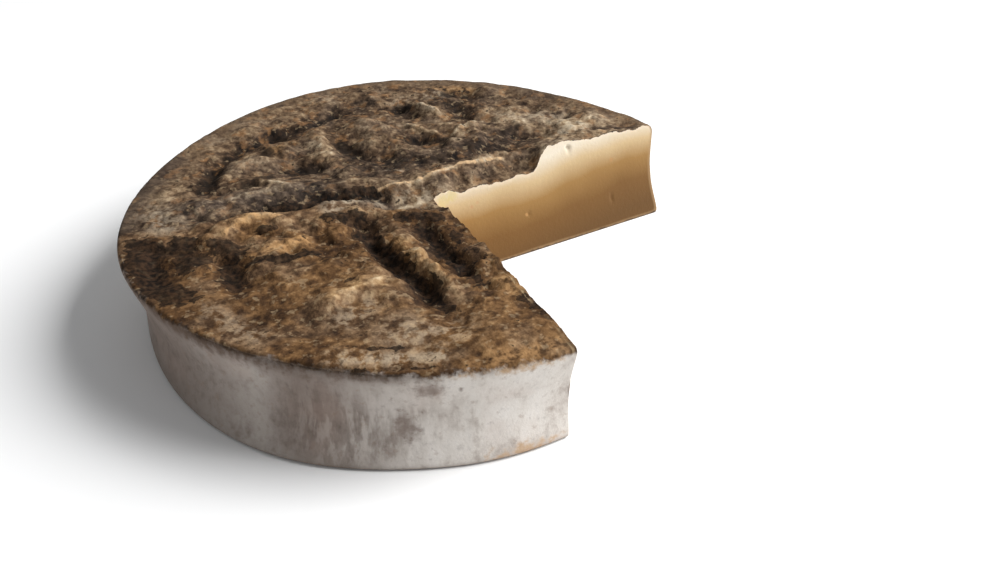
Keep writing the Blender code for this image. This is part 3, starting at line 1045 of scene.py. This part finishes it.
def crust_lines(paint, colour, grain, fleck, blotch, broad):
    """The pale crest line, and the near cut's edge, which is dark or pale in places."""
    line = paint.total(paint.value("line"), (1.6, fleck, 0.5), (2.4, blotch, 0.5))
    colour = paint.cover(colour, paint.near(line, 0.15, 0.75), 0.9, rgb(196, 164, 126))
    brink = paint.total(paint.value("brink"), (2.4, grain, 0.5))
    dark = paint.times(paint.near(brink, 1.0, 1.9), paint.spread(blotch, 0.44, 0.54))
    colour = paint.cover(colour, dark, 0.45, rgb(38, 27, 19))
    pale = paint.times(paint.near(brink, 0.1, 0.5), paint.spread(broad, 0.4, 0.6))
    return paint.cover(colour, pale, 0.5, rgb(190, 166, 128))


def crust_colour(paint, grain):
    """Mould crust of the top: dark in the hollows, tan on the ridges."""
    fleck = paint.noise(2.1, 2.0, 0.5)
    blotch = paint.noise(10.0, 3.0, 0.6)
    broad = paint.noise(34.0, 2.0, 0.5)
    colour, contrast = crust_ground(paint, grain, fleck, blotch, broad)
    colour = crust_flecks(paint, colour, grain, contrast)
    colour = crust_hollows(paint, colour, grain, fleck, blotch)
    return crust_lines(paint, colour, grain, fleck, blotch, broad)


def wall_ground(paint, mottle, specks, streaks):
    """Grey-white rind with upright streaks, painted shade and painted highlights along the streaks.
    """
    streaky = paint.total(0.3, (0.9, paint.value("streaky"), 0.0))
    even = paint.total(0.5, (0.4, mottle, 0.5), (0.45, specks, 0.5), (streaky, streaks, 0.5))
    colour = paint.ramp(paint.total(even, (0.4, mottle, 0.5)), WALL_COLOURS)
    # Painted shade: the shade mask swaps in darker, browner copies of the rind's colours.
    colour = paint.mix(paint.value("shade"), colour, paint.ramp(even, WALL_PAINTED_SHADE_COLOURS))
    # Bright lines along the streaks: partly the rind's own pale streaks, partly painted highlight
    # on the flutes.
    pale_streaks_and_glints = paint.times(paint.spread(streaks, 0.48, 0.62), paint.value("streaky"))
    return paint.cover(colour, pale_streaks_and_glints, 0.32, rgb(224, 216, 208))


def wall_colour(paint):
    """Rind of the wall with its pink, brown and tan stains and its brown foot."""
    mottle = paint.noise(13.0, 4.0, 0.6)
    specks = paint.noise(2.6, 3.0, 0.6)
    streaks = paint.noise(3.4, 3.0, 0.6, paint.stretched((1.0, 1.0, STREAK_SQUASH)))
    colour = wall_ground(paint, mottle, specks, streaks)
    blush = paint.spread(paint.noise(21.0, 2.0, 0.5), 0.5, 0.7)
    colour = paint.cover(colour, blush, 0.22, rgb(190, 168, 156))
    brown = paint.spread(paint.noise(3.4, 3.0, 0.65), 0.58, 0.72)
    colour = paint.cover(colour, brown, 0.3, rgb(140, 116, 98))
    band = paint.total(paint.value("band"), (1.0, streaks, 0.5), (1.6, specks, 0.5))
    colour = paint.cover(colour, paint.spread(band, 0.0, 1.15), 0.85, rgb(90, 70, 56))
    tint = paint.value("tint")
    tinted = paint.spread(paint.total(tint, (1.6, mottle, 0.5), (2.2, specks, 0.5)), 0.15, 0.9)
    tinted = paint.times(tinted, paint.spread(tint, 0.0, 0.4))
    colour = paint.cover(colour, tinted, 0.85, rgb(192, 160, 126))
    stain = paint.total(paint.value("stain"), (1.6, mottle, 0.5), (1.2, specks, 0.5))
    colour = paint.cover(colour, paint.spread(stain, 0.3, 1.1), 0.75, rgb(118, 101, 91))
    foot = paint.near(paint.value("foot"), 0.0, 2.3)
    return paint.cover(colour, foot, 0.6, rgb(112, 92, 76))


def make_outside():
    """The crust on top and the rind of the wall, with a ragged edge between them."""
    paint = Paint("outside")
    grain = paint.noise(3.9, 3.0, 0.6)
    edge_noise = paint.noise(7.0, 4.0, 0.7)
    edge_grain = paint.noise(2.4, 2.0, 0.5)
    edge = paint.total(paint.value("border"), (6.0, edge_noise, 0.5), (2.2, edge_grain, 0.5))
    crust = paint.spread(edge, -2.4, -0.2)
    colour = paint.mix(crust, wall_colour(paint), crust_colour(paint, grain))
    # Painted shade: the crease under the crust's front edge is darkened in colour as well as cut
    # in.
    crease = paint.times(paint.value("crease"), paint.spread(edge_noise, 0.36, 0.56))
    colour = paint.cover(colour, crease, 0.85, rgb(56, 44, 34))
    paint.put(colour, paint.shader.inputs["Base Color"])
    grain_bump = paint.bump(paint.times(grain, paint.total(0.12, (0.6, crust, 0.0))), 1.0)
    fine_bump = paint.bump(paint.noise(0.9, 3.0, 0.6), 0.13, grain_bump)
    paint.put(fine_bump, paint.shader.inputs["Normal"])
    paint.shader.inputs["Roughness"].default_value = 0.85
    paint.shader.inputs["Specular IOR Level"].default_value = 0.12
    return paint.material


def paste_colour(paint, soft):
    """Cream paste, deeper low down (partly painted shadow) and in its marks, paler just under the
    crust.
    """
    colour = paint.ramp(paint.total(paint.value("level"), (0.16, soft, 0.5)), PASTE_AND_SHADOW_COLOURS)
    ragged = paint.total(paint.value("skin"), (2.0, paint.noise(3.0, 3.0, 0.6), 0.5))
    colour = paint.cover(colour, paint.near(ragged, 0.6, 2.0), 0.4, rgb(226, 208, 184))
    fleck = paint.noise(2.0, 3.0, 0.6)
    # The first mark is painted shade in an open eye under the crust.
    for x, height, half_width, shade in PASTE_MARKS:
        mark = paint.spot(fleck, (x, far_cut_y(x, height), height), half_width)
        colour = paint.cover(colour, mark, 0.6, rgb(*shade))
    cut_crust = paint.ramp(paint.noise(1.8, 3.0), CUT_CRUST_COLOURS)
    return paint.mix(paint.near(ragged, 0.15, 0.4), colour, cut_crust)


def make_paste():
    """The cut paste with a thin dark line of crust above, and rind at its end and foot."""
    paint = Paint("paste")
    soft = paint.noise(26.0, 2.0, 0.5)
    colour = paste_colour(paint, soft)
    rind = paint.near(paint.total(paint.value("shell"), (1.2, soft, 0.5)), 0.5, 1.8)
    colour = paint.cover(colour, rind, 0.7, rgb(160, 130, 92))
    base = paint.total(paint.value("foot"), (1.6, paint.noise(2.6, 3.0, 0.6), 0.5))
    colour = paint.cover(colour, paint.near(base, 0.3, 0.9), 0.85, rgb(66, 48, 32))
    paint.put(colour, paint.shader.inputs["Base Color"])
    paint.put(paint.bump(paint.noise(1.6, 3.0, 0.6), 0.12), paint.shader.inputs["Normal"])
    paint.shader.inputs["Roughness"].default_value = 0.5
    paint.shader.inputs["Specular IOR Level"].default_value = 0.35
    paint.shader.inputs["Subsurface Weight"].default_value = 0.06
    paint.shader.inputs["Subsurface Radius"].default_value = (1.0, 0.6, 0.3)
    paint.shader.inputs["Subsurface Scale"].default_value = 0.003
    return paint.material


def add_object(name, data):
    """A new object in the scene."""
    thing = bpy.data.objects.new(name, data)
    bpy.context.scene.collection.objects.link(thing)
    return thing


def build_cheese():
    surface = build_surface()
    points = np.array(surface.points)
    mesh = bpy.data.meshes.new("cheese_wheel")
    mesh.from_pydata((points * MM).tolist(), [], surface.faces)
    mesh.polygons.foreach_set("material_index", surface.slots)
    for name, values in masks_of(points, *np.array(surface.values).T).items():
        attribute = mesh.attributes.new(name, "FLOAT", "POINT")
        attribute.data.foreach_set("value", np.asarray(values, dtype=np.float32))
    mesh.materials.append(make_outside())
    mesh.materials.append(make_paste())
    mesh.shade_smooth()
    mesh.set_sharp_from_angle(angle=math.radians(SHARP_ANGLE))
    mesh.validate()
    cheese = add_object("cheese_wheel", mesh)
    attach(cheese, "root")
    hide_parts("cheese")


def build_floor():
    half = 0.5 * FLOOR_SIZE
    mesh = bpy.data.meshes.new("floor")
    corners = [(-half, -half, 0.0), (half, -half, 0.0), (half, half, 0.0), (-half, half, 0.0)]
    mesh.from_pydata(corners, [], [(0, 1, 2, 3)])
    paint = Paint("floor")
    paint.shader.inputs["Base Color"].default_value = (*FLOOR_COLOUR, 1.0)
    paint.shader.inputs["Roughness"].default_value = 0.9
    mesh.materials.append(paint.material)
    floor = add_object("floor", mesh)


def build_lights():
    bearing = math.radians(CAMERA_BEARING + KEY_BEARING)
    lift = math.radians(KEY_HEIGHT_ANGLE)
    level = math.cos(lift)
    way = Vector((math.sin(bearing) * level, math.cos(bearing) * level, math.sin(lift)))
    light = bpy.data.lights.new("key", "AREA")
    light.size = KEY_SIZE
    light.energy = KEY_POWER
    key = add_object("key", light)
    key.location = way * KEY_DISTANCE
    key.rotation_euler = way.to_track_quat("Z", "Y").to_euler()

    world = bpy.data.worlds.new("studio")
    world.use_nodes = True
    sky = world.node_tree.nodes["Background"]
    sky.inputs["Color"].default_value = (*SKY_COLOUR, 1.0)
    sky.inputs["Strength"].default_value = SKY_STRENGTH
    bpy.context.scene.world = world
    bpy.context.scene.view_settings.view_transform = "Standard"


def build_camera():
    data = bpy.data.cameras.new("camera")
    data.sensor_width = SENSOR_WIDTH
    data.lens = CAMERA_FOCUS / PICTURE_WIDTH * SENSOR_WIDTH
    camera = add_object("camera", data)
    camera.location = CAMERA_PLACE
    tilt = math.radians(90.0 - CAMERA_DIP)
    camera.rotation_euler = Euler((tilt, 0.0, -math.radians(CAMERA_BEARING)))
    bpy.context.scene.camera = camera


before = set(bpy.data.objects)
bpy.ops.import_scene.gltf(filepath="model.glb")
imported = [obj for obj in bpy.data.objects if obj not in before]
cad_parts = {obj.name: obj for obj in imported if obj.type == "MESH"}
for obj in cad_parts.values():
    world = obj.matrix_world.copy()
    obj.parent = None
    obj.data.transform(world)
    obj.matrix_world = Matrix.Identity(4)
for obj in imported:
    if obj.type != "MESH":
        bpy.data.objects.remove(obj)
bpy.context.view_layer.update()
build_cheese()
build_floor()
build_lights()
build_camera()
